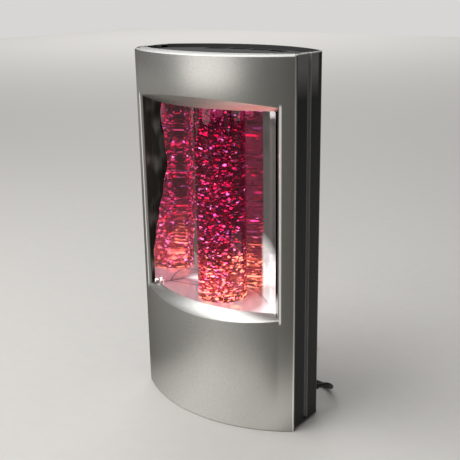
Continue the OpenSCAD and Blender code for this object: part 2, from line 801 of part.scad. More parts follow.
// In-line rocker switch
module sw_plan(inset) {
  r = sw_round - inset;
  for (x = [-1, 1], y = [-1, 1])
    translate([x * (sw_l / 2 - sw_round), y * (sw_w / 2 - sw_round)]) circle(r = r);
  square([sw_l - 2 * sw_round, sw_w - 2 * inset], center = true);
  square([sw_l - 2 * inset, sw_w - 2 * sw_round], center = true);
}
module switch_base() {
  collar_d = cord_d + 4;
  color([0.06, 0.06, 0.06]) translate([sw_x, sw_y, 0]) difference() {
    union() {
      linear_extrude(sw_wall) sw_plan(0);
      linear_extrude(sw_split) difference() {
        sw_plan(0);
        sw_plan(sw_wall);
      }
      for (s = [-1, 1]) {
        translate([s * sw_screw_x, 0, 0]) cylinder(d = sw_boss + 2, h = sw_split);
        translate([s * (sw_l / 2 + sw_collar / 2), 0, sw_cord_z]) rotate([0, 90, 0])
          cylinder(d = collar_d, h = sw_collar, center = true);
      }
    }
    for (s = [-1, 1]) translate([s * sw_screw_x, 0, 0]) {
      translate([0, 0, -1]) cylinder(d = sw_screw_d + 2 * fit, h = sw_split + 2);
      translate([0, 0, -1]) cylinder(d = sw_screw_head + 2 * fit, h = sw_sink + 1);
    }
  }
}
module switch_cover() {
  win_l = rocker_l + 2 * rocker_slack;
  win_y = rocker_w + 2 * fit;
  color([0.06, 0.06, 0.06]) translate([sw_x, sw_y, 0]) difference() {
    union() {
      translate([0, 0, sw_split]) linear_extrude(sw_h - sw_deck - sw_split) difference() {
        sw_plan(0);
        sw_plan(sw_wall);
      }
      translate([0, 0, sw_h - sw_deck - sw_wall]) linear_extrude(sw_wall) sw_plan(0);
      translate([-deck_l / 2, -deck_w / 2, sw_h - sw_deck - sw_wall]) cube([deck_l, deck_w, sw_deck + sw_wall]);
      translate([-rocker_l / 4, -deck_w / 2, sw_split + 1]) cube([rocker_l / 2, deck_w, sw_h - sw_split - 2]);
      for (s = [-1, 1]) translate([s * sw_screw_x, 0, sw_split]) cylinder(d = sw_boss, h = sw_h - sw_deck - sw_split);
    }
    translate([-win_l / 2, -win_y / 2, 0]) cube([win_l, win_y, sw_h + 1]);
    translate([0, 0, pivot_z]) rotate([90, 0, 0])
      cylinder(d = pivot_d + 2 * pivot_fit, h = win_y + 2 * cheek_w, center = true);
    for (s = [-1, 1])
      translate([s * sw_screw_x, 0, sw_split - 1]) cylinder(d = sw_screw_d + 2 * fit, h = sw_h - sw_deck - sw_split - 0.2);
  }
}
module switch_rocker() {
  h = rocker_l / 2;
  color([0.12, 0.12, 0.12]) translate([sw_x, sw_y, pivot_z]) rotate([0, -rocker_tilt, 0]) {
    rotate([90, 0, 0]) linear_extrude(rocker_w, center = true) polygon([
      [-h, rocker_top], [-h, -1], [-h / 2, -rocker_low], [h / 2, -rocker_low], [h, -1], [h, rocker_top],
      [0, rocker_top - rocker_dip]
    ]);
    rotate([90, 0, 0]) cylinder(d = pivot_d, h = rocker_w + 2 * fit + 2 * cheek_w - 1, center = true);
  }
}
module switch_contacts() {
  contact_t = 0.8;
  contact_w = 4;
  color([0.8, 0.65, 0.3]) for (s = [-1, 1]) translate([sw_x + s * 9, sw_y - contact_w / 2, sw_wall]) {
    translate([-4, 0, 0]) cube([8, contact_w, contact_t]);
    translate([-contact_t / 2, 0, 0]) cube([contact_t, contact_w, sw_split - 1 - sw_wall]);
  }
}
module switch_screws() {
  color([0.6, 0.6, 0.62]) for (s = [-1, 1]) translate([sw_x + s * sw_screw_x, sw_y, 0]) {
    translate([0, 0, sw_sink - 2]) cylinder(d = sw_screw_head, h = 2);
    translate([0, 0, sw_sink - 1]) cylinder(d = sw_screw_d, h = sw_split + 3 - sw_sink);
  }
}

// The put-away cord: it spirals in and out, and climbs where the spiral turns back
layer_turns = coil_turns / coil_layers;
function fold(t) = let (k = floor(t / layer_turns), f = t - k * layer_turns) k % 2 == 0 ? f : layer_turns - f;
function climb(t) = len([for (k = [1:coil_layers - 1]) if (t >= k * layer_turns + 0.25) k])
  + [for (k = [1:coil_layers - 1]) each let (f = 2 * (t - k * layer_turns) + 0.5) f > 0 && f < 1 ? [f] : [], 0][0];
function coil_point(t) = [
  coil_x + (coil_r - coil_pitch * fold(t)) * cos(-90 - 360 * t),
  coil_y + (coil_r - coil_pitch * fold(t)) * sin(-90 - 360 * t),
  coil_z + coil_pitch * climb(t)
];
coil_count = coil_turns * coil_rings;
coil_path = concat(
  coil_entry,
  [for (i = [0:coil_count]) coil_point(i / coil_rings)],
  [tail_points[0]]
);
coil_gap = min([for (i = [0:len(coil_path) - 1], j = [i + 5:len(coil_path) - 1])
  norm(coil_path[i] - coil_path[j])]) - cord_d;
echo(coil_gap = coil_gap);
module cord_coil() {
  color([0.08, 0.08, 0.08]) tube_along(coil_path, cord_d, coil_sides);
}
module cord_tie() {
  strap_in = coil_r - coil_pitch * layer_turns - cord_d / 2;
  x1 = -sqrt(strap_in * strap_in - tie_w * tie_w / 4) + tie_slack;
  x0 = -coil_r - cord_d / 2 - tie_slack;
  top = coil_z + coil_pitch * (coil_layers - 1) + cord_d / 2 + tie_slack;
  color([0.15, 0.15, 0.15]) translate([coil_x, coil_y + tie_w / 2, 0]) rotate([90, 0, 0]) linear_extrude(tie_w) difference() {
    translate([x0 - tie_t, 0]) square([x1 - x0 + 2 * tie_t, top + tie_t]);
    translate([x0, tie_t]) square([x1 - x0, top - tie_t]);
  }
}

// Flat two-pin plug
module plug_body() {
  tail = tail_points[len(tail_points) - 1];
  neck_w = cord_d + 4;
  color([0.1, 0.1, 0.1]) translate([tail[0], tail[1], 0]) intersection() {
    linear_extrude(plug_h) polygon([
      [0, -neck_w / 2], [plug_neck, -neck_w / 2 - 1.5], [plug_l - 14, -plug_w / 2], [plug_l, -plug_w / 2],
      [plug_l, plug_w / 2], [plug_l - 14, plug_w / 2], [plug_neck, neck_w / 2 + 1.5], [0, neck_w / 2]
    ]);
    translate([0, plug_w, 0]) rotate([90, 0, 0]) linear_extrude(2 * plug_w) polygon([
      [0, plug_h / 2 - neck_w / 2], [plug_neck, 0], [plug_l, 0],
      [plug_l, plug_h], [plug_neck, plug_h], [0, plug_h / 2 + neck_w / 2]
    ]);
  }
}
module plug_pins() {
  tail = tail_points[len(tail_points) - 1];
  color([0.85, 0.8, 0.6]) for (s = [-1, 1])
    translate([tail[0] + plug_l, tail[1] + s * pin_gap / 2, plug_h / 2]) rotate([0, 90, 0]) {
      cylinder(d = pin_d, h = pin_l - 1);
      translate([0, 0, pin_l - 1]) cylinder(d1 = pin_d, d2 = pin_d - 1.4, h = 1);
    }
}

front_shell();
front_frame();
rear_cover();
top_plate();
base_plate();
rubber_feet();
chamber_floor();
chamber_ceiling();
mirror_sheet();
tube_seat();
tube_collar();
glitter_tube();
glitter_liquid();
glitter_flakes();
tube_cap();
bulb_glass();
bulb_cap();
lampholder();
holder_bracket();
terminal_block();
lamp_wires();
inner_lead();
cord_clamp();
clamp_screws();
cover_screws();
plate_screws();
cord_gland();
cord_run();
switch_base();
switch_cover();
switch_rocker();
switch_contacts();
switch_screws();
cord_coil();
cord_tie();
cord_tail();
plug_body();
plug_pins();
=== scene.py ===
"""Bow-fronted glitter lamp: the looks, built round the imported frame. Metres, +Z up, front towards -Y."""

import math
import random

import bpy
from mathutils import Matrix, Vector


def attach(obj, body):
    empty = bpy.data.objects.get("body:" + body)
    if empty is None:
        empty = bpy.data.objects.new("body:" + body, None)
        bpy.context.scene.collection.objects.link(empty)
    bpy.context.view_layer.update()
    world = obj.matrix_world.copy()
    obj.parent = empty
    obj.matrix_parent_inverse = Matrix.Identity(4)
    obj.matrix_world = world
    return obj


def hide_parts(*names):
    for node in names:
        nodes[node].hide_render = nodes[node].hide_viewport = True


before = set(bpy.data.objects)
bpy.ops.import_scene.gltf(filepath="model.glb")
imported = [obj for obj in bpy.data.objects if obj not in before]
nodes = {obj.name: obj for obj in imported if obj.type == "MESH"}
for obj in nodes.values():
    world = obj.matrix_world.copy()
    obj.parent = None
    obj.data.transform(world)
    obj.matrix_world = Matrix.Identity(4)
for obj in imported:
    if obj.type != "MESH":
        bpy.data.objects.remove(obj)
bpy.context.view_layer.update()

# Sizes that several pieces share with the solids
MM = 0.001
HALF_W = 0.100
BODY_H = 0.380
FRONT_R = 0.168015
APEX_Y = -0.0575
FRONT_AXIS_Y = APEX_Y + FRONT_R
LIP_Y = -0.0219
TUBE_Y = -0.011
TUBE_R = 0.026
FLOOR_Z = 0.125
CEILING_Z = 0.334

# How close counts as the same place when part of a mesh is picked out
SNUG = 1e-6
CLOSE = 1e-5
# A face whose normal rises more than this looks up
LOOKS_UP = 0.9


# Hands: selecting, editing and finishing a mesh with operators


def clear_hands():
    if bpy.context.object and bpy.context.object.mode != "OBJECT":
        bpy.ops.object.mode_set(mode="OBJECT")
    bpy.ops.object.select_all(action="DESELECT")


def take(piece):
    clear_hands()
    piece.select_set(True)
    bpy.context.view_layer.objects.active = piece


def fresh(name):
    """Names the primitive that was just added, and its mesh."""
    piece = bpy.context.object
    piece.name = name
    piece.data.name = name
    return piece


def select(piece, kind, test):
    """Selects edges by their two ends, or faces by centre and normal, and leaves the piece in edit mode."""
    take(piece)
    bpy.ops.object.mode_set(mode="EDIT")
    bpy.ops.mesh.select_mode(type=kind)
    bpy.ops.mesh.select_all(action="DESELECT")
    bpy.ops.object.mode_set(mode="OBJECT")
    mesh = piece.data
    if kind == "EDGE":
        for e in mesh.edges:
            a, b = (mesh.vertices[i].co for i in e.vertices)
            e.select = bool(test(a, b))
    else:
        for f in mesh.polygons:
            f.select = bool(test(f.center, f.normal))
    bpy.ops.object.mode_set(mode="EDIT")


def place_selected(piece, rule):
    """Moves each selected vertex to where the rule puts it, in object mode."""
    bpy.ops.object.mode_set(mode="OBJECT")
    for v in piece.data.vertices:
        if v.select:
            v.co = rule(v.co)


def extrude(shift=(0, 0, 0)):
    bpy.ops.mesh.extrude_region_move(TRANSFORM_OT_translate={"value": shift})


def modify(piece, kind, **settings):
    take(piece)
    m = piece.modifiers.new(kind.title(), kind)
    for key, value in settings.items():
        setattr(m, key, value)
    bpy.ops.object.modifier_apply(modifier=m.name)


def smooth(piece, degrees):
    take(piece)
    bpy.ops.object.shade_smooth_by_angle(angle=math.radians(degrees))


def recalc(piece):
    take(piece)
    bpy.ops.object.mode_set(mode="EDIT")
    bpy.ops.mesh.select_all(action="SELECT")
    bpy.ops.mesh.remove_doubles(threshold=SNUG)
    bpy.ops.mesh.normals_make_consistent(inside=False)
    bpy.ops.object.mode_set(mode="OBJECT")


def softened(node, width):
    """A copy of a CAD node with flat faces joined up and hard edges rounded, which then stands for it."""
    flat_deg, smooth_deg, hard_deg = 0.5, 35, 40
    clear_hands()
    piece = nodes[node].copy()
    piece.data = nodes[node].data.copy()
    piece.data.name = piece.name = node + ".round"
    for key in list(piece.keys()):
        del piece[key]
    piece.parent = None
    bpy.context.scene.collection.objects.link(piece)
    piece.data.materials.clear()
    take(piece)
    bpy.ops.object.mode_set(mode="EDIT")
    bpy.ops.mesh.select_all(action="SELECT")
    bpy.ops.mesh.customdata_custom_splitnormals_clear()
    bpy.ops.mesh.remove_doubles(threshold=SNUG)
    bpy.ops.mesh.dissolve_limited(angle_limit=math.radians(flat_deg), delimit={"NORMAL"})
    bpy.ops.object.mode_set(mode="OBJECT")
    smooth(piece, smooth_deg)
    modify(
        piece, "BEVEL", width=width, segments=2, limit_method="ANGLE", angle_limit=math.radians(hard_deg),
        use_clamp_overlap=True, miter_outer="MITER_ARC", harden_normals=True,
    )
    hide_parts(node)
    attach(piece, "rocker" if node == "switch_rocker" else "lamp")
    return piece


def dress(piece, material):
    piece.data.materials.clear()
    piece.data.materials.append(material)
    return piece


# Shader maths


class Wire:
    """A socket of a material's node tree, with the operators that the finishes use."""

    def __init__(self, tree, socket):
        self.tree = tree
        self.socket = socket

    def node(self, kind, settings=None, inputs=None, out=0):
        n = self.tree.nodes.new(kind)
        for key, value in (settings or {}).items():
            setattr(n, key, value)
        for key, value in (inputs or {}).items():
            if isinstance(value, Wire):
                self.tree.links.new(value.socket, n.inputs[key])
            else:
                n.inputs[key].default_value = value
        return Wire(self.tree, n.outputs[out])

    def sum(self, operation, *values):
        return self.node("ShaderNodeMath", {"operation": operation}, dict(enumerate(values)))

    def __add__(self, other):
        return self.sum("ADD", self, other)

    __radd__ = __add__

    def __mul__(self, other):
        return self.sum("MULTIPLY", self, other)

    __rmul__ = __mul__

    def __sub__(self, other):
        return self.sum("SUBTRACT", self, other)

    def __rsub__(self, other):
        return self.sum("SUBTRACT", other, self)

    def __pow__(self, other):
        return self.sum("POWER", self, other)

    def __abs__(self):
        return self.sum("ABSOLUTE", self)

    def between(self, low, high):
        """0 at low and 1 at high, and held there beyond them."""
        return self.node(
            "ShaderNodeMapRange", {"clamp": True},
            {"Value": self, "From Min": low, "From Max": high, "To Min": 0.0, "To Max": 1.0},
        )

    def band(self, rise, fall):
        """1 within a band that fades in over the first pair of values and out over the second."""
        return self.between(*rise) * self.between(*fall)

    def mix(self, a, b):
        """From colour a to colour b as this value goes from 0 to 1."""
        factor, first, second, result = 0, 6, 7, 2
        wire = self.node("ShaderNodeMix", {"data_type": "RGBA"}, {factor: self}, result)
        n = wire.socket.node
        for key, value in ((first, a), (second, b)):
            if isinstance(value, Wire):
                self.tree.links.new(value.socket, n.inputs[key])
            else:
                n.inputs[key].default_value = (*value, 1)
        return wire

    def ramp(self, *stops):
        wire = self.node("ShaderNodeValToRGB", None, {"Fac": self})
        elements = wire.socket.node.color_ramp.elements
        while len(elements) < len(stops):
            elements.new(1)
        for stop, (at, colour) in zip(elements, stops):
            stop.position = at
            stop.color = (*colour, 1)
        return wire

    def noise(self, scale, detail=2.0):
        return self.node("ShaderNodeTexNoise", None, {"Vector": self, "Scale": scale, "Detail": detail})

    def stretched(self, x, y, z):
        return self.node("ShaderNodeMapping", None, {"Vector": self, "Scale": (x, y, z)})

    def axis(self, name):
        return self.node("ShaderNodeSeparateXYZ", None, {"Vector": self}, "XYZ".index(name))

    def aside(self):
        """0 in the lamp's middle plane and 1 at its flat sides."""
        return (self.axis("X") * (1 / HALF_W)) ** 2

    def bump(self, distance, strength):
        inputs = {"Height": self, "Distance": distance, "Strength": strength}
        return self.node("ShaderNodeBump", None, inputs)


class Finish:
    """A new material with a Principled shader; place() is where a point lies on the lamp."""

    def __init__(self, name, **sockets):
        self.material = bpy.data.materials.new(name)
        self.material.use_nodes = True
        self.tree = self.material.node_tree
        self.shader = next(n for n in self.tree.nodes if n.type == "BSDF_PRINCIPLED")
        self.out = next(n for n in self.tree.nodes if n.type == "OUTPUT_MATERIAL")
        self.set(**sockets)

    def set(self, **sockets):
        for key, value in sockets.items():
            socket = self.shader.inputs[key.replace("_", " ").title().replace("Ior", "IOR")]
            if isinstance(value, Wire):
                self.tree.links.new(value.socket, socket)
            elif isinstance(value, tuple):
                socket.default_value = (*value, 1)
            else:
                socket.default_value = value

    def place(self):
        coords = self.tree.nodes.new("ShaderNodeTexCoord")
        return Wire(self.tree, coords.outputs["Object"])

    def attribute(self, name):
        n = self.tree.nodes.new("ShaderNodeAttribute")
        n.attribute_name = name
        return Wire(self.tree, n.outputs["Fac"])

    def see_through(self, factor, colour):
        """Puts the Principled shader over a clear, tinted one: factor 1 is all Principled."""
        clear = self.tree.nodes.new("ShaderNodeBsdfTransparent")
        clear.inputs["Color"].default_value = (*colour, 1)
        mixer = self.tree.nodes.new("ShaderNodeMixShader")
        self.tree.links.new(factor.socket, mixer.inputs[0])
        self.tree.links.new(clear.outputs[0], mixer.inputs[1])
        self.tree.links.new(self.shader.outputs[0], mixer.inputs[2])
        self.tree.links.new(mixer.outputs[0], self.out.inputs["Surface"])


# Finishes of the casing


def silver_paint():
    """Sprayed silver, with painted shade towards the sides and painted highlights on lips, jambs and rim; it
    stops on the lips, where the black moulding shows.
    """
    jamb_highlight_aside = (0.766, 0.770), (0.803, 0.799)
    jamb_highlight_height = (0.118, 0.121), (0.336, 0.333)
    lip_aside = 0.984, 0.990
    spray_end_y = -0.0235, -0.0233
    rim_height = 0.3776, 0.3782
    f = Finish("silver_paint")
    place = f.place()
    aside, height = place.aside(), place.axis("Z")
    speckle = place.noise(1400.0)
    cloud = place.noise(9.0)
    jamb = aside.band(*jamb_highlight_aside) * height.band(*jamb_highlight_height)
    lip = aside.between(*lip_aside)
    bare = lip * place.axis("Y").between(*spray_end_y)
    tone = speckle.between(0.3, 0.75).mix((0.46, 0.455, 0.435), (0.66, 0.655, 0.63))
    # Painted shade: the silver darkens towards the flat sides.
    tone = aside.mix(tone, (0.33, 0.325, 0.305))
    # Painted highlight: a paler line along each lip.
    tone = lip.mix(tone, (0.74, 0.73, 0.70))
    # Painted highlight: near-white, less metallic jamb reveals.
    tone = jamb.mix(tone, (0.94, 0.93, 0.91))
    # Painted highlight on the rim, dimmer towards the sides.
    rim_highlight = aside.mix((0.64, 0.635, 0.615), (0.40, 0.395, 0.38))
    tone = height.between(*rim_height).mix(tone, rim_highlight)
    tone = bare.mix(tone, (0.012, 0.012, 0.013))
    f.set(base_color=tone, metallic=0.8 - 0.8 * bare - 0.6 * jamb)
    f.set(roughness=0.29 + 0.08 * cloud + 0.06 * speckle, normal=speckle.bump(0.00012, 0.35))
    return f.material


def black_gloss():
    """The casing's gloss, with painted highlights on the groove and top edges, painted light on the tops,
    painted shade on the rear corners, and a painted wavy sheen on the inner left wall.
    """
    outer_aside = 0.90, 0.93
    corner_y = 0.0125, 0.0160
    painted_top_light_z = 0.338, 0.366
    groove_aside = 0.935, 0.939
    groove_y = (-0.0050, -0.0046), (0.0018, 0.0013)
    top_edge_z = 0.3790, 0.3795
    wall_x = (-0.0990, -0.0984), (-0.088, -0.092)
    wall_y = 0.022, 0.018
    wall_z = 0.345, 0.338
    f = Finish("black_gloss", specular_ior_level=0.14)
    place = f.place()
    x, y, z = (place.axis(name) for name in "XYZ")
    aside = place.aside()
    outer = aside.between(*outer_aside)
    corner = outer * y.between(*corner_y)
    tone = place.noise(900.0, 1.0).between(0.6, 0.9).mix((0.008, 0.008, 0.009), (0.016, 0.016, 0.016))
    # Painted light: the tops and the upper band of the sides are paler, as if lit from above.
    painted_top_light = z.between(*painted_top_light_z) * (0.4 + 0.6 * outer) * (1.0 - corner)
    tone = painted_top_light.mix(tone, (0.14, 0.14, 0.14))
    # Painted shade: the rounded rear corners of the sides are made near-black.
    tone = corner.mix(tone, (0.001, 0.001, 0.001))
    # Painted highlight: a pale line in the groove between the halves.
    groove = aside.between(*groove_aside) * y.band(*groove_y)
    tone = groove.mix(tone, (0.22, 0.22, 0.215))
    # Painted highlight along the top edges of the sides.
    tone = (z.between(*top_edge_z) * outer).mix(tone, (0.75, 0.74, 0.72))
    # Painted sheen: wavy glints painted on the inner left wall.
    wave = place.stretched(1, 2.2, 1.1).noise(30.0, 1.0).between(0.48, 0.68) ** 2
    sheen = wave.mix((0.14, 0.122, 0.11), (0.54, 0.50, 0.46))
    wall = x.band(*wall_x) * y.between(*wall_y) * z.between(*wall_z)
    smear = place.stretched(1, 1, 0.25).noise(30.0, 3.0)
    f.set(base_color=wall.mix(tone, sheen), roughness=0.12 + 0.12 * smear)
    f.set(normal=place.noise(25.0, 1.0).bump(0.0004, 0.15))
    return f.material


def dark_plate():
    f = Finish("dark_plate", specular_ior_level=0.12)
    grain = f.place().noise(700.0)
    tone = grain.mix((0.026, 0.026, 0.027), (0.042, 0.042, 0.042))
    f.set(base_color=tone, roughness=0.5 + 0.15 * grain, normal=grain.bump(0.0002, 0.4))
    return f.material


def rubber(name, tone):
    f = Finish(name)
    grain = f.place().noise(500.0)
    f.set(base_color=grain.mix((tone,) * 3, (tone * 1.8,) * 3), roughness=0.45 + 0.2 * grain)
    f.set(normal=grain.bump(0.0001, 0.3))
    return f.material


def plain(name, tone, rough, metal=0.0):
    f = Finish(name, metallic=metal)
    grain = f.place().noise(400.0)
    paler = tuple(min(1, c * 1.25) for c in tone)
    f.set(base_color=grain.mix(tone, paler), roughness=rough + 0.12 * grain)
    f.set(normal=grain.bump(0.00008, 0.25))
    return f.material


# Finishes of the lit niche


def mirror_film():
    """Silvered film, with painted glints on its lower left corner, a painted reflection glowing at its right
    wing's foot and a faint painted glow elsewhere.
    """
    f = Finish("mirror_film", metallic=1.0, emission_strength=1.0)
    place = f.place()
    x, z = place.axis("X"), place.axis("Z")
    haze = place.stretched(1, 1, 0.3).noise(22.0, 3.0)
    # Painted glints: white sparks glowing on the lower left corner.
    crumpled = x.between(-0.0745, -0.0775) * z.between(0.1335, 0.1300)
    sparkle = crumpled * place.noise(420.0, 1.0).between(0.50, 0.62)
    # Painted reflection: the right wing's foot glows pale below a sharp edge, and the rest of the film glows
    # faintly.
    foot = z.between(0.198, 0.182) * x.between(0.037, 0.043)
    glow = foot.mix((0.017, 0.016, 0.015), (0.62, 0.60, 0.58))
    f.set(base_color=haze.mix((0.70, 0.67, 0.69), (0.78, 0.76, 0.77)), roughness=0.025 + 0.05 * haze)
    f.set(emission_color=sparkle.mix(glow, (4.0, 3.4, 3.2)))
    return f.material


def floor_film():
    """Crumpled, creased film on the niche's floor, with painted shade along the creased line and painted
    light that spills out round the tube.
    """
    crease_slope, crease_shift = 0.20, 0.0005
    warm_light_pools = (0.004, -0.0425), (0.0335, -0.0325)
    spot_r = 0.0065
    f = Finish("floor_film", metallic=0.45, emission_strength=0.9)
    place = f.place()
    x, y = place.axis("X"), place.axis("Y")
    haze = place.noise(40.0, 3.0)
    # Painted shade: a dark line drawn where the film is creased.
    off_crease = abs(y - x * crease_slope + crease_shift)
    crease = off_crease.between(0.0009, 0.0003) * x.between(-0.028, -0.032)
    tone = haze.mix((0.82, 0.68, 0.72), (0.92, 0.80, 0.83))
    f.set(base_color=crease.mix(tone, (0.30, 0.20, 0.22)), roughness=0.12 + 0.12 * haze)
    # Painted light: the floor glows behind the tube and beside the right wing, and faintly elsewhere.
    behind = y.between(0.0, 0.010) * x.between(0.015, -0.010)
    spill = (behind + 0.6 * x.between(0.050, 0.062)).between(0.0, 1.0)
    light = spill.mix((0.02, 0.008, 0.01), (1.0, 0.93, 0.91))
    # Painted pools of orange light in front of the tube.
    warm = 0.0
    for spot_x, spot_y in warm_light_pools:
        away = (x - spot_x) ** 2 + (y - spot_y) ** 2
        warm = away.between(spot_r ** 2, 0.0) + warm
    f.set(emission_color=(warm * 0.8).mix(light, (1.0, 0.42, 0.16)))
    f.set(normal=place.noise(35.0).bump(0.003, 0.25))
    return f.material


def clear_plastic():
    f = Finish("clear_plastic", base_color=(0.98, 0.94, 0.96), transmission_weight=1.0, ior=1.4)
    f.set(specular_ior_level=0.12, roughness=0.004 + 0.012 * f.place().noise(60.0))
    return f.material


def bore_skin():
    """The bore's wall, which can't be seen where the liquid wets it."""
    f = Finish("bore_skin", base_color=(0.9, 0.85, 0.88), roughness=0.1)
    f.see_through(0.01 * f.place().noise(80.0), (1.0, 1.0, 1.0))
    return f.material


def plum_liquid():
    """Liquid with painted bulb light: it glows amber just above the bulb and plum higher up."""
    f = Finish("plum_liquid", specular_ior_level=0.1, emission_strength=0.5)
    place = f.place()
    height = place.axis("Z").between(FLOOR_Z - 0.01, CEILING_Z)
    # Painted light: colour and glow turn amber and bright towards the bulb.
    tone = height.ramp(
        (0.0, (1.0, 0.45, 0.24)), (0.12, (0.70, 0.17, 0.19)), (0.3, (0.30, 0.04, 0.11)),
        (0.55, (0.15, 0.012, 0.05)), (1.0, (0.10, 0.004, 0.03)),
    )
    drift = place.noise(90.0, 3.0)
    f.set(base_color=tone, emission_color=tone, roughness=0.1 + 0.1 * drift)
    f.see_through(0.08 + 0.08 * drift, (0.52, 0.13, 0.26))
    return f.material


def flake_foil():
    """Foil that glows in each flake's own tint as painted glints, from crimson up in the tube to orange near
    the bulb.
    """
    f = Finish("flake_foil", metallic=1.0, roughness=0.35, emission_strength=8.0)
    tint, glow, warmth = (f.attribute(name) for name in ("tint", "glow", "warmth"))
    cool = tint.ramp(
        (0.0, (0.85, 0.02, 0.12)), (0.60, (1.0, 0.05, 0.20)), (0.73, (0.92, 0.12, 0.48)),
        (0.83, (1.0, 0.40, 0.60)), (0.92, (0.50, 0.36, 0.90)), (1.0, (1.0, 0.95, 1.0)),
    )
    warm = tint.ramp(
        (0.0, (0.95, 0.40, 0.22)), (0.4, (1.0, 0.85, 0.28)), (0.6, (0.95, 1.0, 0.28)),
        (0.8, (1.0, 0.70, 0.75)), (0.92, (0.78, 0.62, 1.0)), (1.0, (1.0, 1.0, 0.92)),
    )
    # Painted light: the base colour is paler near the bulb.
    f.set(base_color=warmth.mix((0.22, 0.008, 0.04), (0.50, 0.12, 0.14)), specular_tint=(0.55, 0.05, 0.14))
    # Painted glints: each flake glows by its glow and warmth.
    f.set(emission_color=glow.mix((0, 0, 0), warmth.mix(cool, warm)))
    return f.material


def bulb_frost():
    f = Finish("bulb_frost", base_color=(0.95, 0.9, 0.8), roughness=0.4, emission_strength=6.0)
    f.set(emission_color=f.place().noise(40.0).mix((1.0, 0.55, 0.25), (1.0, 0.68, 0.38)))
    return f.material


# Finishes of the stage


def pale_floor():
    f = Finish("pale_floor", roughness=0.8)
    f.set(base_color=f.place().noise(60.0, 3.0).mix((0.64, 0.625, 0.60), (0.68, 0.665, 0.64)))
    return f.material


def graded_card():
    """Dark far out and on both sides as painted shade, white before the front, and glowing most beside its
    right foot as painted light.
    """
    f = Finish("graded_card", roughness=0.9, emission_strength=0.1)
    place = f.place()
    x, y = place.axis("X"), place.axis("Y")
    far, left = y.between(-0.33, -0.39), x.between(-0.085, -0.145)
    right = x.between(0.095, 0.135) * y.between(-0.070, -0.120)
    # Painted shade: the card goes dark where the front's reflections should show shade.
    painted_dark_mask = (far + left + right).between(0.0, 1.0)
    white = x.band((-0.090, -0.025), (0.28, 0.22)) * y.band((-0.21, -0.15), (-0.02, -0.04))
    beside_foot = x.between(0.055, 0.105) * y.between(-0.088, -0.048)
    tone = white.mix((0.66, 0.645, 0.62), (0.96, 0.95, 0.91))
    # Painted light: the white part glows, most beside the right foot.
    light = beside_foot.mix((1.0, 0.98, 0.93), (4.5, 4.4, 4.2))
    f.set(base_color=painted_dark_mask.mix(tone, (0.13, 0.125, 0.105)))
    f.set(emission_color=(white * (1.0 - painted_dark_mask)).mix((0, 0, 0), light))
    return f.material


# The silver front, modelled flat and then bent to the bow


def silver_front():
    window_half_w = 0.088
    half_turn = math.asin(HALF_W / FRONT_R)
    band = half_turn * FRONT_R
    window = math.asin(window_half_w / FRONT_R) * FRONT_R
    edge_cols, window_cols, rows = 8, 80, 3
    cols = window_cols + 2 * edge_cols
    arch, low, high, sill, soffit = 0.007, 0.116, 0.3395, 0.127, 0.328
    middle, pane_reach = (low + high) / 2, 0.08
    bottom, rim_low = 0.0005, 0.3780
    reveal, jamb, taper, shelf_pinch = 0.010, 0.0026, 0.0016, 0.985
    rim_depth, rim_waist, rim_hem = 0.0165, 0.0075, 0.002
    skin, edge_round, side_reach = 0.0018, 0.0006, 2e-4
    clear_hands()
    bpy.ops.mesh.primitive_grid_add(x_subdivisions=cols, y_subdivisions=rows, size=1)
    front = fresh("silver_front")

    def column(c):
        if c < edge_cols:
            return -band + (band - window) * c / edge_cols
        if c > cols - edge_cols:
            return band - (band - window) * (cols - c) / edge_cols
        return window * (2 * (c - edge_cols) / window_cols - 1)

    for v in front.data.vertices:
        x = column(round((v.co.x + 0.5) * cols))
        row = round((v.co.y + 0.5) * rows)
        lift = arch * min(1.0, abs(x) / window) ** 2
        v.co = (x, 0, (bottom, low + lift, high - lift, rim_low)[row])

    select(front, "FACE", lambda c, n: abs(c.x) < window and abs(c.z - middle) < pane_reach)
    bpy.ops.mesh.delete(type="FACE")

    # The reveals: jambs all round, then a sill and a soffit that run on inwards
    def on_window(a, b):
        inside = max(abs(a.x), abs(b.x)) < window + CLOSE
        return inside and min(a.z, b.z) > low - CLOSE and max(a.z, b.z) < high + CLOSE

    def to_jamb(p):
        inner = soffit if p.z > middle else sill
        return (p.x * (window - taper) / window, jamb, p.z + jamb / reveal * (inner - p.z))

    def on_shelf(a, b):
        return max(abs(a.y - jamb), abs(b.y - jamb)) < SNUG and abs(a.x - b.x) > CLOSE

    select(front, "EDGE", on_window)
    extrude()
    place_selected(front, to_jamb)
    select(front, "EDGE", on_shelf)
    extrude()
    place_selected(front, lambda p: (p.x * shelf_pinch, reveal, soffit if p.z > middle else sill))

    # The crescent rim, deepest in the middle, with its hem turned down
    select(front, "EDGE", lambda a, b: min(a.z, b.z) > rim_low - SNUG)
    extrude()
    place_selected(front, lambda p: (p.x, rim_depth - rim_waist * (p.x / band) ** 2, BODY_H))
    select(front, "EDGE", lambda a, b: min(a.z, b.z) > BODY_H - SNUG)
    extrude((0, 0, -rim_hem))

    modify(front, "SIMPLE_DEFORM", deform_method="BEND", deform_axis="Z", angle=2 * half_turn)
    for v in front.data.vertices:
        v.co.y += APEX_Y

    def on_side(a, b):
        return min(abs(a.x), abs(b.x)) > HALF_W - side_reach and max(a.z, b.z) < rim_low + CLOSE

    select(front, "EDGE", on_side)
    extrude()
    place_selected(front, lambda p: (p.x, LIP_Y, p.z))
    recalc(front)
    modify(front, "SOLIDIFY", thickness=skin, offset=-1.0, use_even_offset=True)
    modify(
        front, "BEVEL", width=edge_round, segments=2, limit_method="ANGLE",
        angle_limit=math.radians(30), use_clamp_overlap=True,
    )
    smooth(front, degrees=40)
    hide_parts("front_shell")
    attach(front, "lamp")
    return front


# The mirror film behind the tube: curves in plan, from the left edge to the back and on to the right edge


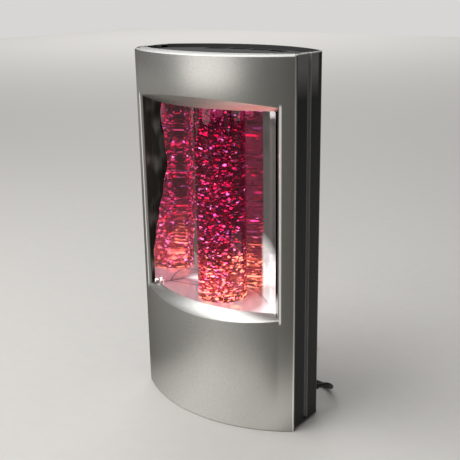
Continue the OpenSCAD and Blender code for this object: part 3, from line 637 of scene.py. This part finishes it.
FILM_FRONT, FILM_BACK = -0.0315, 0.0195
FILM_PULL = (
    Vector((-0.079, FILM_FRONT)), Vector((-0.0520, FILM_FRONT + (FILM_BACK - FILM_FRONT) * 0.99)),
    Vector((-0.0640, FILM_BACK)), Vector((0, FILM_BACK)),
)
FILM_FOOT = (FILM_PULL[0], Vector((-0.0575, 0.0170)), Vector((-0.0600, FILM_BACK)), FILM_PULL[3])
FILM_WING = (
    Vector((0, FILM_BACK)), Vector((0.0320, FILM_BACK)),
    Vector((0.0580, -0.0060)), Vector((0.0825, FILM_FRONT)),
)
FLARE_TOP, FLARE_HEIGHT = 0.205, 0.040
RIPPLE = 0.0004
# Height, and how far round the bend the film's loose left edge lies there
FREE_EDGE = (
    (0.125, 0.0), (0.160, 0.0), (0.183, 0.02), (0.208, 0.05), (0.233, 0.09),
    (0.260, 0.132), (0.284, 0.114), (0.311, 0.09), (0.340, 0.125),
)


def eased(s):
    return s * s * (3 - 2 * s)


def free_edge(z):
    for (z0, t0), (z1, t1) in zip(FREE_EDGE, FREE_EDGE[1:]):
        if z <= z1:
            return t0 + (t1 - t0) * eased((z - z0) / (z1 - z0))
    return FREE_EDGE[-1][1]


def bent(points, t):
    a, b, c, d = points
    return (1 - t) ** 3 * a + 3 * t * (1 - t) ** 2 * b + 3 * t * t * (1 - t) * c + t ** 3 * d


def film_point(u, z):
    """The film's place at u, from -1 at its left edge to 1 at its right, and height z."""
    if u > 0:
        return bent(FILM_WING, u).to_3d() + Vector((0, 0, z))
    start = free_edge(z)
    t = start + (1 - start) * (1 + u)
    flare = eased(min(1.0, max(0.0, (FLARE_TOP - z) / FLARE_HEIGHT)))
    flat = bent(FILM_PULL, t).lerp(bent(FILM_FOOT, t), flare)
    ripple = RIPPLE * math.sin(z * 150 + 3 * t) * (1 - t) ** 2 * (1 - abs(2 * t - 0.6))
    return Vector((flat.x + ripple, flat.y, z))


def mirror_sheet():
    cols, rows = 168, 110
    foot, top = FLOOR_Z + 0.0006, CEILING_Z - 0.0003
    trim_low, trim_high, trim_r = 0.1275, 0.3275, FRONT_R - 0.0105
    clear_hands()
    bpy.ops.mesh.primitive_grid_add(x_subdivisions=cols, y_subdivisions=rows, size=2)
    film = fresh("mirror_film")
    for v in film.data.vertices:
        z = foot + (top - foot) * (v.co.y + 1) / 2
        v.co = film_point(v.co.x, z)

    def in_reveal(c, n):
        return (c.z < trim_low or c.z > trim_high) and math.hypot(c.x, c.y - FRONT_AXIS_Y) > trim_r

    select(film, "FACE", in_reveal)
    bpy.ops.mesh.delete(type="FACE")
    bpy.ops.object.mode_set(mode="OBJECT")
    modify(film, "SOLIDIFY", thickness=0.0004, offset=-1.0)
    smooth(film, degrees=60)
    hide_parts("mirror_sheet")
    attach(film, "lamp")
    return film


# The glitter: elongated foil flakes that drift in the liquid


FLAKE_COUNT, FLAKE_SEED = 4400, 11
FLAKE_LOW, FLAKE_HIGH, FLAKE_REACH = 0.1165, 0.3340, 0.0208
FLAKE_SIZES = (0.0009, 0.0012, 0.0015, 0.0019)
FLAKE_CORNERS, FLAKE_BREADTH = 6, 0.75
PALE_TINTS = (0.99, 0.97, 0.88, 0.75)
# From which share of the height flakes are fewer, and the share of them that is left out
BACK_SPARSE, TOP_SPARSE = (0.3, 0.62), (0.93, 0.6)


def flake_corners(rng, centre):
    """A six-sided flake, nearly level along its length and turned at random about it."""
    spin = rng.uniform(0, 2 * math.pi)
    along = Vector((math.cos(spin), math.sin(spin), rng.gauss(0, 0.2))).normalized()
    across = along.cross(Vector((rng.gauss(0, 1), rng.gauss(0, 1), rng.gauss(0, 1)))).normalized()
    length = rng.choice(FLAKE_SIZES)
    breadth = length * FLAKE_BREADTH
    turns = [2 * math.pi * i / FLAKE_CORNERS for i in range(FLAKE_CORNERS)]
    return [centre + along * (length * math.cos(a)) + across * (breadth * math.sin(a)) for a in turns]


def flake_light(rng, centre, rise, behind):
    """Tint, and the painted glow and warmth of a flake: a few pale sparks among the red, a bright foot near
    the bulb.
    """
    foot_rise, foot_gain, back_gain, back_spark = 0.25, 2.4, 0.6, 0.97
    spark = 0.955 if rise < 0.6 else 0.985
    sparkle = rng.random()
    tint = rng.random()
    middle = max(0.0, 1.0 - abs(rise - 0.4) / 0.3)
    bulb_light = 1.0 + 5.0 * max(0.0, 0.3 - rise) - 0.3 * rise + 0.3 * middle
    glow = (0.006 + 0.72 * sparkle ** 5) * bulb_light
    if behind and rise < foot_rise:
        tint = rng.uniform(0.35, 0.65)
        glow = foot_gain * glow
    elif behind and sparkle < back_spark:
        glow = back_gain * glow
    elif sparkle > spark:
        glow = rng.uniform(0.3, 1.0) * (1.0 + 0.6 * middle)
        tint = rng.choice(PALE_TINTS)
    warm_top, warm_fade = (0.195, 0.030) if behind else (FLOOR_Z + 0.065, 0.070)
    return tint, glow, min(1.0, max(0.0, (warm_top - centre.z) / warm_fade))


def glitter_flakes():
    rng = random.Random(FLAKE_SEED)
    verts, faces = [], []
    light = {"tint": [], "glow": [], "warmth": []}
    for _ in range(FLAKE_COUNT):
        radius = FLAKE_REACH * math.sqrt(rng.random())
        around = rng.uniform(0, 2 * math.pi)
        x, y = radius * math.cos(around), TUBE_Y + radius * math.sin(around)
        centre = Vector((x, y, rng.uniform(FLAKE_LOW, FLAKE_HIGH)))
        rise = (centre.z - FLAKE_LOW) / (FLAKE_HIGH - FLAKE_LOW)
        behind = centre.y > TUBE_Y
        sparse = behind and rise > BACK_SPARSE[0] and rng.random() < BACK_SPARSE[1]
        if sparse or rise > TOP_SPARSE[0] and rng.random() < TOP_SPARSE[1]:
            continue
        faces.append(range(len(verts), len(verts) + FLAKE_CORNERS))
        verts += flake_corners(rng, centre)
        for name, value in zip(light, flake_light(rng, centre, rise, behind)):
            light[name] += [value] * FLAKE_CORNERS
    mesh = bpy.data.meshes.new("glitter_flakes")
    mesh.from_pydata(verts, [], faces)
    for name, values in light.items():
        layer = mesh.attributes.new(name, "FLOAT", "POINT")
        layer.data.foreach_set("value", values)
    flakes = bpy.data.objects.new("glitter_flakes", mesh)
    bpy.context.scene.collection.objects.link(flakes)
    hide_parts("glitter_flakes")
    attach(flakes, "lamp")
    return flakes


# The tube, bored from above, and the liquid that fills it


def upright(name, low, high, radius, sides):
    """A cylinder on the tube's axis, with its top face selected in edit mode."""
    clear_hands()
    bpy.ops.mesh.primitive_cylinder_add(
        vertices=sides, radius=radius, depth=high - low, location=(0, TUBE_Y, (low + high) / 2),
    )
    piece = fresh(name)
    bpy.ops.object.transform_apply(location=True, rotation=False, scale=False)
    select(piece, "FACE", lambda c, n: n.z > LOOKS_UP)
    return piece


def clear_tube():
    low, high, bore, foot = 0.112, 0.3465, 0.0235, 0.003
    tube = upright("clear_tube", low, high, TUBE_R, 128)
    bpy.ops.mesh.inset(thickness=TUBE_R - bore)
    extrude((0, 0, low + foot - high))
    bpy.ops.object.mode_set(mode="OBJECT")
    smooth(tube, degrees=40)
    tube.data.materials.append(clear_plastic())
    tube.data.materials.append(bore_skin())
    for f in tube.data.polygons:
        inward = f.normal.x * f.center.x + f.normal.y * (f.center.y - TUBE_Y) < -0.001
        floor_of_bore = f.normal.z > LOOKS_UP and f.center.z < low + 0.01
        f.material_index = 1 if inward or floor_of_bore else 0
    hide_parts("glitter_tube")
    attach(tube, "lamp")
    return tube


def filling():
    low, high, radius = 0.1152, 0.3358, 0.0233
    meniscus_w, meniscus_h = 0.0012, 0.0006
    liquid = upright("plum_filling", low, high, radius, 96)
    bpy.ops.mesh.inset(thickness=meniscus_w)
    bpy.ops.transform.translate(value=(0, 0, -meniscus_h))
    bpy.ops.object.mode_set(mode="OBJECT")
    smooth(liquid, degrees=40)
    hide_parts("glitter_liquid")
    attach(liquid, "lamp")
    return liquid


# The cord: the same points as the solids, in millimetres


RUN = (
    (87, 42, 20), (89.5, 46, 20), (91.8, 51.4, 19), (92.5, 56.6, 16.4), (91.8, 61.8, 12.8),
    (89.8, 66.6, 9.2), (86.6, 70.7, 6.2), (82.5, 73.9, 4.1), (77.7, 75.9, 2.9), (72.5, 76.6, 2.6),
    (60, 77.2, 2.6), (48, 77.6, 2.6), (40, 77.9, 2.7), (33, 78, 3.3), (26, 78, 4.3), (20, 78, 5),
    (14, 78, 5),
)
ENTRY = ((-58, 78, 5), (-64, 78, 5), (-71, 78, 4.8), (-78, 78, 4.4), (-84, 78, 4))
TAIL = (
    (-84, 145, 20.7), (-79, 145, 20.6), (-74, 145, 19.6), (-69, 145, 17.7), (-64, 145, 15.1),
    (-59, 145, 12.3), (-54, 145, 9.8), (-49, 145, 7.9), (-44, 145, 6.9), (-39, 145, 6.8),
)
CORD_D = 0.005
COIL_TURNS = 8.5
COIL_LAYERS = 4
COIL_PITCH = 5.6
COIL_R = 33.5
COIL_CENTRE = (-90, 111.5)
COIL_Z = 3.9
COIL_RINGS = 24


def coil_point(t):
    """A point of the coil after t turns: layer on layer, wound inwards and outwards by turns."""
    lap = COIL_TURNS / COIL_LAYERS
    layer = math.floor(t / lap)
    part = t - layer * lap
    inward = part if layer % 2 == 0 else lap - part
    climb = sum(min(1, max(0, 2 * (t - k * lap) + 0.5)) for k in range(1, COIL_LAYERS))
    radius = COIL_R - COIL_PITCH * inward
    angle = -math.pi / 2 - 2 * math.pi * t
    x, y = COIL_CENTRE
    return (x + radius * math.cos(angle), y + radius * math.sin(angle), COIL_Z + COIL_PITCH * climb)


def flex(name, points_mm):
    curve = bpy.data.curves.new(name, "CURVE")
    curve.dimensions = "3D"
    curve.bevel_depth = 1.0
    curve.bevel_resolution = 4
    curve.resolution_u = 4
    curve.use_fill_caps = True
    spline = curve.splines.new("BEZIER")
    spline.bezier_points.add(len(points_mm) - 1)
    for knot, p in zip(spline.bezier_points, points_mm):
        knot.co = Vector(p) * MM
        knot.radius = CORD_D / 2
        knot.handle_left_type = knot.handle_right_type = "AUTO"
    piece = bpy.data.objects.new(name, curve)
    bpy.context.scene.collection.objects.link(piece)
    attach(piece, "lamp")
    return piece


def length_of(piece):
    """The length along a cord, measured on a bare copy of its curve."""
    curve = piece.data.copy()
    curve.bevel_depth = 0
    probe = bpy.data.objects.new("probe", curve)
    bpy.context.scene.collection.objects.link(probe)
    bpy.context.view_layer.update()
    line = probe.evaluated_get(bpy.context.evaluated_depsgraph_get()).to_mesh()
    total = 0.0
    for edge in line.edges:
        a, b = (line.vertices[i].co for i in edge.vertices)
        total += (a - b).length
    bpy.data.objects.remove(probe)
    bpy.data.curves.remove(curve)
    return total


# Assembly


# Node, radius of its rounded edges and material slot
ROUNDED = (
    ("front_frame", 0.0006, "black_gloss"), ("rear_cover", 0.0008, "black_gloss"),
    ("switch_base", 0.0006, "switch"), ("switch_cover", 0.0006, "switch"),
    ("switch_rocker", 0.0003, "switch"), ("plug_body", 0.0014, "switch"), ("cord_tie", 0.0007, "cord"),
)


def build():
    gloss, plate = black_gloss(), dark_plate()
    cord_skin = rubber("cord_skin", tone=0.01)
    sole = rubber("sole_rubber", tone=0.02)
    moulded = plain("moulded_black", (0.014, 0.014, 0.015), rough=0.35)
    zinc = plain("zinc", (0.5, 0.5, 0.5), rough=0.3, metal=1.0)
    brass = plain("brass", (0.65, 0.48, 0.2), rough=0.25, metal=1.0)
    china = plain("china", (0.75, 0.74, 0.7), rough=0.3)
    wire = plain("wire_red", (0.4, 0.05, 0.04), rough=0.4)
    matt_black = plain("matt_black", (0.012, 0.012, 0.012), rough=0.5)
    cad_finish = {
        "front_frame": gloss, "rear_cover": gloss, "top_plate": plate, "base_plate": plate,
        "rubber_feet": sole, "chamber_floor": floor_film(), "chamber_ceiling": matt_black,
        "tube_seat": matt_black, "tube_collar": matt_black, "tube_cap": matt_black,
        "bulb_glass": bulb_frost(), "bulb_cap": brass, "lampholder": china, "holder_bracket": zinc,
        "terminal_block": china, "lamp_wires": wire, "inner_lead": cord_skin, "cord_clamp": china,
        "clamp_screws": zinc, "cover_screws": zinc, "plate_screws": zinc, "cord_gland": cord_skin,
        "switch_base": moulded, "switch_cover": moulded, "switch_rocker": moulded,
        "switch_contacts": brass, "switch_screws": zinc, "cord_tie": cord_skin, "plug_body": moulded,
        "plug_pins": brass,
    }
    for node, material in cad_finish.items():
        dress(nodes[node], material)
    shown = dict(nodes)
    for node, width, slot in ROUNDED:
        shown[node] = dress(softened(node, width), cad_finish[node])
    dress(silver_front(), silver_paint())
    dress(mirror_sheet(), mirror_film())
    clear_tube()
    dress(filling(), plum_liquid())
    dress(glitter_flakes(), flake_foil())

    run = dress(flex("flex_run", RUN), cord_skin)
    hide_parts("cord_run")
    rings = range(int(COIL_TURNS * COIL_RINGS) + 1)
    turns = [coil_point(i / COIL_RINGS) for i in rings]
    coil = dress(flex("flex_coil", [*ENTRY, *turns, *TAIL]), cord_skin)
    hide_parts("cord_coil", "cord_tail")
    length_of(run)
    length_of(coil)


# Camera, floor and light


def camera():
    focal_px, frame_px, sensor_mm = 803.7, 460.0, 36.0
    eye, target = Vector((0.5032, -0.6318, 0.4432)), Vector((0.0225, -0.0253, 0.2035))
    roll = math.radians(-0.99)
    ahead = (target - eye).normalized()
    level = ahead.cross(Vector((0, 0, 1))).normalized()
    plumb = level.cross(ahead)
    right = level * math.cos(roll) + plumb * math.sin(roll)
    up = plumb * math.cos(roll) - level * math.sin(roll)
    data = bpy.data.cameras.new("camera")
    data.sensor_width = sensor_mm
    data.lens = focal_px * sensor_mm / frame_px
    data.clip_start, data.clip_end = 0.01, 100.0
    eye_piece = bpy.data.objects.new("camera", data)
    eye_piece.matrix_world = Matrix.Translation(eye) @ Matrix((right, up, -ahead)).transposed().to_4x4()
    bpy.context.scene.collection.objects.link(eye_piece)
    bpy.context.scene.camera = eye_piece


def softbox(name, at, towards, size, power, colour=(1, 1, 1)):
    data = bpy.data.lights.new(name, "AREA")
    data.shape = "RECTANGLE"
    data.size, data.size_y = size
    data.energy = power
    data.color = colour
    lamp = bpy.data.objects.new(name, data)
    lamp.location = at
    lamp.rotation_euler = (Vector(towards) - Vector(at)).to_track_quat("-Z", "Y").to_euler()
    bpy.context.scene.collection.objects.link(lamp)
    return lamp


def hide_from(piece, *rays):
    for ray in rays:
        setattr(piece, "visible_" + ray, False)


def lay_floor():
    """A pale floor, and on it a card that only reflections see, carrying painted shade and painted light, as
    a studio lays cards round a product.
    """
    clear_hands()
    bpy.ops.mesh.primitive_plane_add(size=11, location=(0, 0, 0))
    ground = fresh("ground")
    dress(ground, pale_floor())
    half_width, near_end, far_end, lift = 1.6, -3.0, 0.4, 0.001
    clear_hands()
    bpy.ops.mesh.primitive_plane_add(size=1)
    sheet = fresh("floor_card")
    for v in sheet.data.vertices:
        v.co = (math.copysign(half_width, v.co.x), far_end if v.co.y > 0 else near_end, lift)
    dress(sheet, graded_card())
    hide_from(sheet, "camera", "diffuse", "shadow", "transmission")


def light_room():
    """Soft lights, a small hidden lamp for the niche's soffit, and a room that reflections see dimmer."""
    softbox(
        "card", at=(-0.56, -1.45, 0.48), towards=(0, -0.05, 0.25), size=(1.2, 0.9), power=6.0,
        colour=(1.0, 0.98, 0.95),
    )
    softbox("top", at=(-0.45, -0.65, 1.45), towards=(0, -0.05, 0.1), size=(1.3, 1.0), power=16)
    softbox("backdrop", at=(-4.0, 4.8, 4.0), towards=(-3.8, 4.6, 0), size=(5.0, 5.0), power=200)
    glow = softbox(
        "niche_glow", at=(0.070, -0.022, 0.27), towards=(0.078, -0.042, 0.33), size=(0.02, 0.02), power=0.50,
        colour=(1.0, 0.36, 0.31),
    )
    hide_from(glow, "camera", "glossy", "transmission")
    room_light, seen_more, mirrored_more = 0.35, 0.35, -0.27
    world = bpy.data.worlds.new("room")
    bpy.context.scene.world = world
    world.use_nodes = True
    tree = world.node_tree
    sky = tree.nodes["Background"]
    sky.inputs["Color"].default_value = (0.97, 0.96, 0.94, 1)
    path = tree.nodes.new("ShaderNodeLightPath")
    mirrored, seen = (Wire(tree, path.outputs[name]) for name in ("Is Glossy Ray", "Is Camera Ray"))
    strength = mirrored * mirrored_more + seen * seen_more + room_light
    tree.links.new(strength.socket, sky.inputs["Strength"])
    scene = bpy.context.scene
    scene.view_settings.view_transform = "Standard"
    scene.cycles.transparent_max_bounces = 24
    scene.cycles.use_denoising = True


camera()
lay_floor()
light_room()
build()
